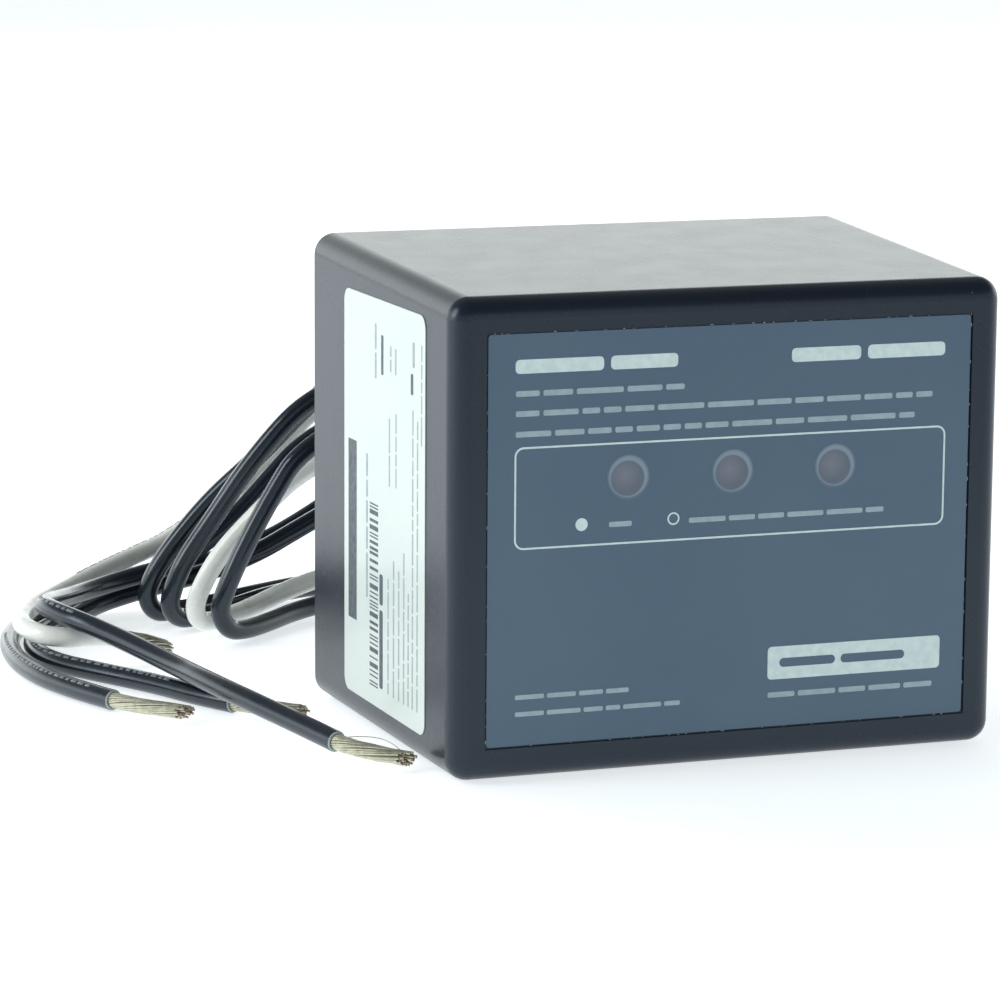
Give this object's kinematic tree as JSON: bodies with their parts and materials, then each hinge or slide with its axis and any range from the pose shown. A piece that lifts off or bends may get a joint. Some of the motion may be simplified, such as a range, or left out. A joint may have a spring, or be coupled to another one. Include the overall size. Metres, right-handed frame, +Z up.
{
  "type": "whole house surge protector",
  "caption": "Boxed surge protective device with status windows, a threaded rear nipple with locknut and washer, and long wire leads.",
  "frame": {"origin": "on the floor under the middle of the box and nipple, leads not counted", "axes": "+Z up, the front face with the status windows looks along -Y, the nipple points along +Y, +X to the right of somebody facing the front"},
  "size_m": [0.1679, 0.1826, 0.0934],
  "materials": {
    "housing_plastic": "satin moulded, dark navy",
    "front_label_film": "printed film, slate blue",
    "side_label_film": "printed film, gloss white",
    "cover_plastic": "satin moulded",
    "screw_steel": "zinc plated",
    "nipple_plastic": "satin moulded",
    "seal_epoxy": "cast, slightly glossy",
    "washer_rubber": "matte",
    "locknut_steel": "zinc plated",
    "window_lens": "translucent, tinted",
    "led_epoxy": "clear tinted",
    "sleeve_plastic": "matte",
    "board_laminate": "solder mask",
    "varistor_coating": "dipped lacquer",
    "fuse_metal": "satin",
    "capacitor_case": "satin moulded",
    "resistor_body": "lacquered",
    "diode_body": "moulded epoxy",
    "terminal_brass": "tinned in places",
    "tinned_strands": "bright tinned copper",
    "black_insulation": "glossy jacket",
    "white_insulation": "glossy jacket"
  },
  "bodies": {
    "device": {"board_screws": "screw_steel", "circuit_board": "board_laminate", "cover_screws": "screw_steel", "film_capacitor_1": "capacitor_case", "film_capacitor_2": "capacitor_case", "film_capacitor_3": "capacitor_case", "front_label": "front_label_film", "housing_shell": "housing_plastic", "inner_wire_1": "black_insulation", "inner_wire_2": "black_insulation", "inner_wire_3": "white_insulation", "inner_wire_4": "black_insulation", "lead_black_1": "black_insulation", "lead_black_2": "black_insulation", "lead_black_3": "black_insulation", "lead_terminal_1": "terminal_brass", "lead_terminal_2": "terminal_brass", "lead_terminal_3": "terminal_brass", "lead_terminal_4": "terminal_brass", "lead_white": "white_insulation", "led_resistors": "resistor_body", "led_sleeves": "sleeve_plastic", "nipple_seal_plug": "seal_epoxy", "rear_cover": "cover_plastic", "rectifier_diodes": "diode_body", "side_label": "side_label_film", "status_led_1": "led_epoxy", "status_led_2": "led_epoxy", "status_led_3": "led_epoxy", "status_window_1": "window_lens", "status_window_2": "window_lens", "status_window_3": "window_lens", "stripped_end_1": "tinned_strands", "stripped_end_2": "tinned_strands", "stripped_end_3": "tinned_strands", "stripped_end_4": "tinned_strands", "thermal_fuse_1": "fuse_metal", "thermal_fuse_2": "fuse_metal", "thermal_fuse_3": "fuse_metal", "threaded_nipple": "nipple_plastic", "varistor_1": "varistor_coating", "varistor_2": "varistor_coating", "varistor_3": "varistor_coating", "varistor_4": "varistor_coating", "varistor_5": "varistor_coating", "varistor_6": "varistor_coating"},
    "washer": {"sealing_washer": "washer_rubber"},
    "locknut": {"locknut": "locknut_steel"}
  },
  "joints": [
    {"name": "washer_slide", "type": "slide", "parent": "device", "child": "washer", "axis": [0, 1, 0], "range_m": [-0.0028, 0.0075]},
    {"name": "locknut_turn", "type": "hinge", "parent": "washer", "child": "locknut", "pos_m": [0, 0.0371, 0.047], "axis": [0, 1, 0], "range_deg": [-540, 1440]}
  ],
  "couplings": [
    {"joint": "washer_slide", "follows": "locknut_turn", "m_per_rad": 0.00028871}
  ]
}
